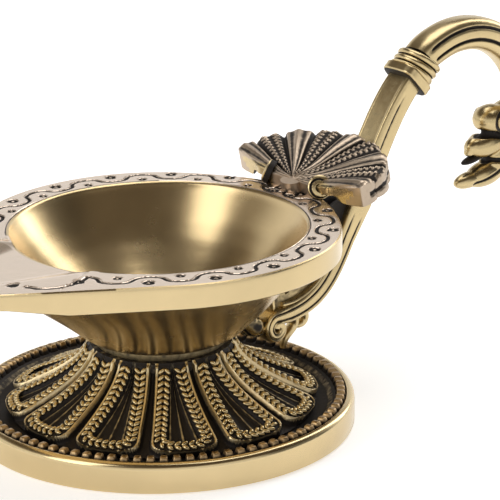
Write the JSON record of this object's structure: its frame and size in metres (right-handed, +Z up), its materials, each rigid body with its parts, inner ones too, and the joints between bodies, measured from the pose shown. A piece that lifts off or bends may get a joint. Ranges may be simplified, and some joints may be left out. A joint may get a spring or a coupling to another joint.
{
  "type": "diya oil lamp",
  "caption": "Hand-held brass oil lamp: round bowl with a pointed wick spout on a lotus foot, with a fan-shaped thumb rest and a swan-neck handle ending in a bird's head.",
  "frame": {"origin": "centre of the foot's underside, on the surface the lamp stands on", "axes": "+Z up, -X towards the tip of the wick spout, +X towards the handle"},
  "size_m": [0.1712, 0.076, 0.0685],
  "materials": {
    "antique_brass": "cast brass, darkened in the recesses and buffed bright on the high points",
    "polished_brass": "turned and buffed brass with black-filled engraving",
    "handle_brass": "cast brass, buffed, with dark grooves",
    "steel": "plain steel"
  },
  "bodies": {
    "root": {"base_ring": "antique_brass", "lotus_foot": "antique_brass", "bowl": "polished_brass", "handle_bracket": "handle_brass", "palmette": "antique_brass", "palmette_rivets": "handle_brass", "palmette_pin": "handle_brass", "neck_collar": "handle_brass", "collar_dowel": "steel", "swan_neck": "handle_brass", "bird_head": "handle_brass", "head_dowel": "steel", "centre_screw": "steel", "screw_washer": "steel"}
  },
  "joints": []
}
